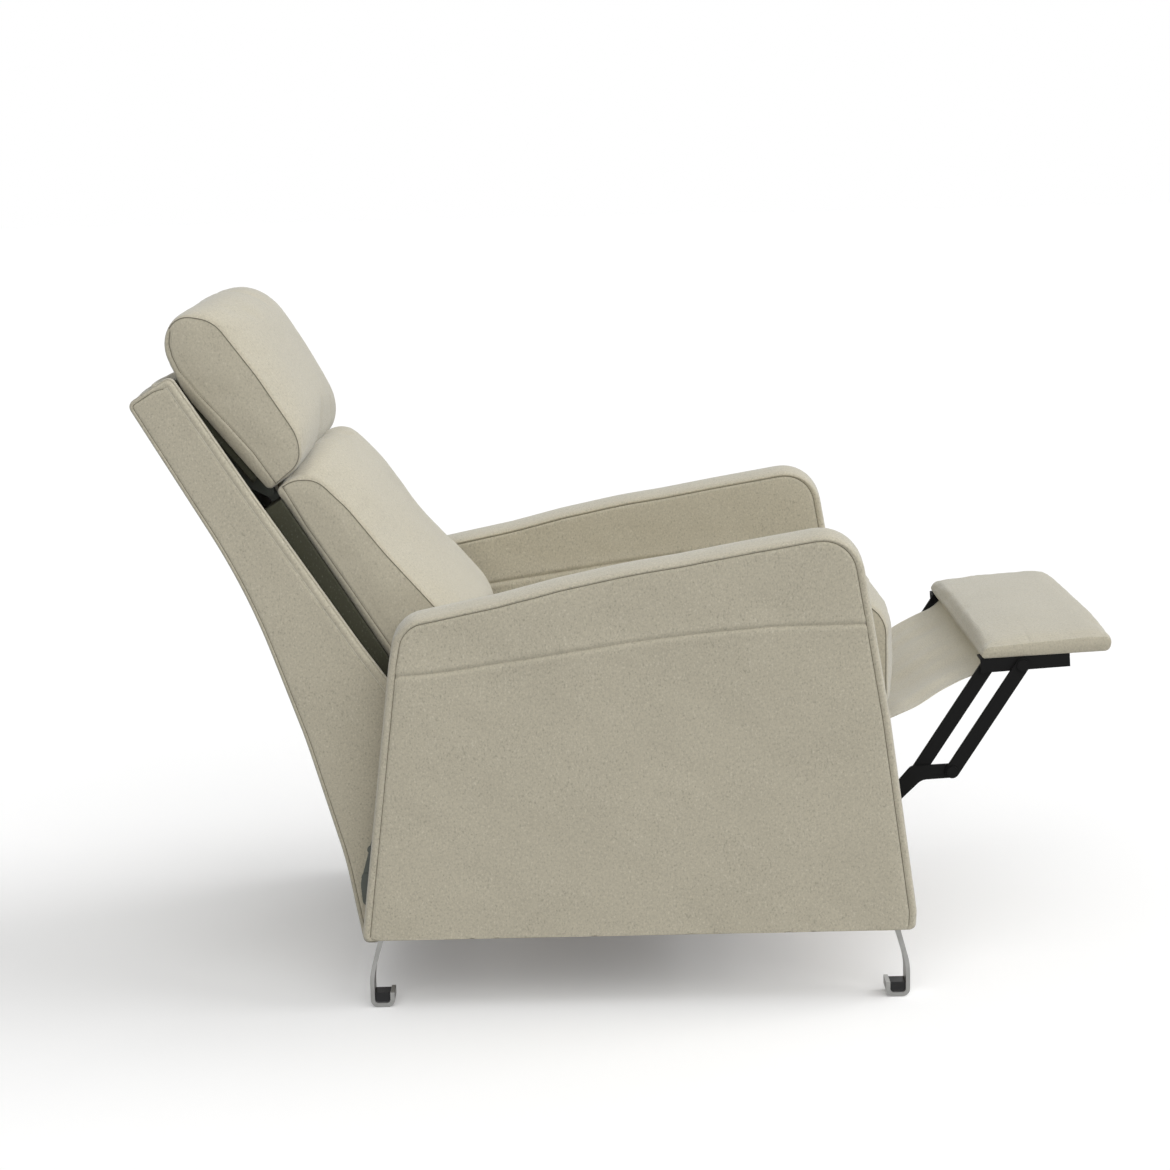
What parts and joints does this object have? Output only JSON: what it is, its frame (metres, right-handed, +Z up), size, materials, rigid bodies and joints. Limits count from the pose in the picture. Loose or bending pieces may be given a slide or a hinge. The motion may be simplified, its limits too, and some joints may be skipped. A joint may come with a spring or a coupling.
{
  "type": "recliner",
  "caption": "Upholstered push-back recliner with flared side panels, a padded back shell, head and back cushions, a sliding seat and a footrest on folding links.",
  "frame": {"origin": "on the floor, under the middle of the chair in plan as pictured: reclined, with the footrest out", "axes": "+X ahead, the way the sitter looks; +Y to the sitter's left; +Z up"},
  "size_m": [1.3697, 0.7, 0.9963],
  "materials": {
    "panel_upholstery": "tight-woven greige cloth over a padded wooden panel",
    "shell_upholstery": "the same cloth over a padded board",
    "cushion": "the same cloth over foam",
    "apron_cloth": "the same cloth, unbacked",
    "webbing": "elastic webbing",
    "plywood": "plain plywood",
    "wood": "plain hardwood",
    "black_plastic": "moulded",
    "foot_steel": "satin grey",
    "black_steel": "black powder coat",
    "grey_steel": "grey zinc"
  },
  "bodies": {
    "base": {"back_hinge_pins": "grey_steel", "foot_glides": "black_plastic", "front_base_rail": "wood", "front_left_foot": "foot_steel", "front_right_foot": "foot_steel", "left_back_pivot_plate": "grey_steel", "left_seat_track": "black_steel", "left_side_panel": "panel_upholstery", "rear_base_rail": "wood", "rear_left_foot": "foot_steel", "rear_right_foot": "foot_steel", "right_back_pivot_plate": "grey_steel", "right_seat_track": "black_steel", "right_side_panel": "panel_upholstery"},
    "back": {"back_bottom_rail": "wood", "back_bracket_bolts": "grey_steel", "back_cushion": "cushion", "back_shell": "shell_upholstery", "back_top_rail": "wood", "back_webbing": "webbing", "headrest_hinge_pins": "grey_steel", "left_back_bracket": "grey_steel", "left_back_stile": "wood", "left_headrest_bracket": "grey_steel", "right_back_bracket": "grey_steel", "right_back_stile": "wood", "right_headrest_bracket": "grey_steel", "shell_top_flap": "shell_upholstery"},
    "headrest": {"head_cushion": "cushion", "headrest_board": "plywood", "left_headrest_leaf": "grey_steel", "right_headrest_leaf": "grey_steel"},
    "seat": {"crank_pivot_pins": "black_steel", "footrest_apron": "apron_cloth", "front_seat_rail": "wood", "left_footrest_hanger": "black_steel", "left_seat_glides": "black_plastic", "left_seat_rail": "wood", "rear_seat_rail": "wood", "right_footrest_hanger": "black_steel", "right_seat_glides": "black_plastic", "right_seat_rail": "wood", "seat_cushion": "cushion", "seat_webbing": "webbing"},
    "crank": {"crank_link_pins": "black_steel", "crank_tube": "black_steel", "left_crank": "black_steel", "right_crank": "black_steel"},
    "rear_links": {"left_rear_link": "black_steel", "right_rear_link": "black_steel"},
    "front_links": {"left_front_link": "black_steel", "right_front_link": "black_steel"},
    "footrest": {"footrest_board": "plywood", "footrest_link_pins": "black_steel", "footrest_pad": "cushion", "left_footrest_rail": "black_steel", "right_footrest_rail": "black_steel"}
  },
  "joints": [
    {"name": "recline", "type": "hinge", "parent": "base", "child": "back", "pos_m": [-0.2557, 0, 0.33], "axis": [0, 1, 0], "range_deg": [0, 20]},
    {"name": "headrest_tilt", "type": "hinge", "parent": "back", "child": "headrest", "pos_m": [-0.50923, 0, 0.71958], "axis": [0, 1, 0], "range_deg": [0, 10]},
    {"name": "seat_slide", "type": "slide", "parent": "base", "child": "seat", "axis": [-0.9659, 0, -0.2588], "range_m": [0, 0.06]},
    {"name": "footrest_crank", "type": "hinge", "parent": "seat", "child": "crank", "pos_m": [0.3263, 0, 0.225], "axis": [0, 1, 0], "range_deg": [0, 90], "deforming": ["footrest_apron"]},
    {"name": "rear_link_pivot", "type": "hinge", "parent": "crank", "child": "rear_links", "pos_m": [0.4053, 0, 0.306], "axis": [0, 1, 0], "range_deg": [-126, 0]},
    {"name": "front_link_pivot", "type": "hinge", "parent": "crank", "child": "front_links", "pos_m": [0.45322, 0, 0.30876], "axis": [0, 1, 0], "range_deg": [-126, 0]},
    {"name": "footrest_pivot", "type": "hinge", "parent": "rear_links", "child": "footrest", "pos_m": [0.5033, 0, 0.458], "axis": [0, 1, 0], "range_deg": [0, 126]}
  ],
  "couplings": [
    {"joint": "seat_slide", "follows": "recline", "m_per_rad": 0.17188},
    {"joint": "footrest_crank", "follows": "recline", "ratio": 4.5},
    {"joint": "rear_link_pivot", "follows": "recline", "ratio": -6.3},
    {"joint": "front_link_pivot", "follows": "recline", "ratio": -6.3},
    {"joint": "footrest_pivot", "follows": "recline", "ratio": 6.3}
  ]
}
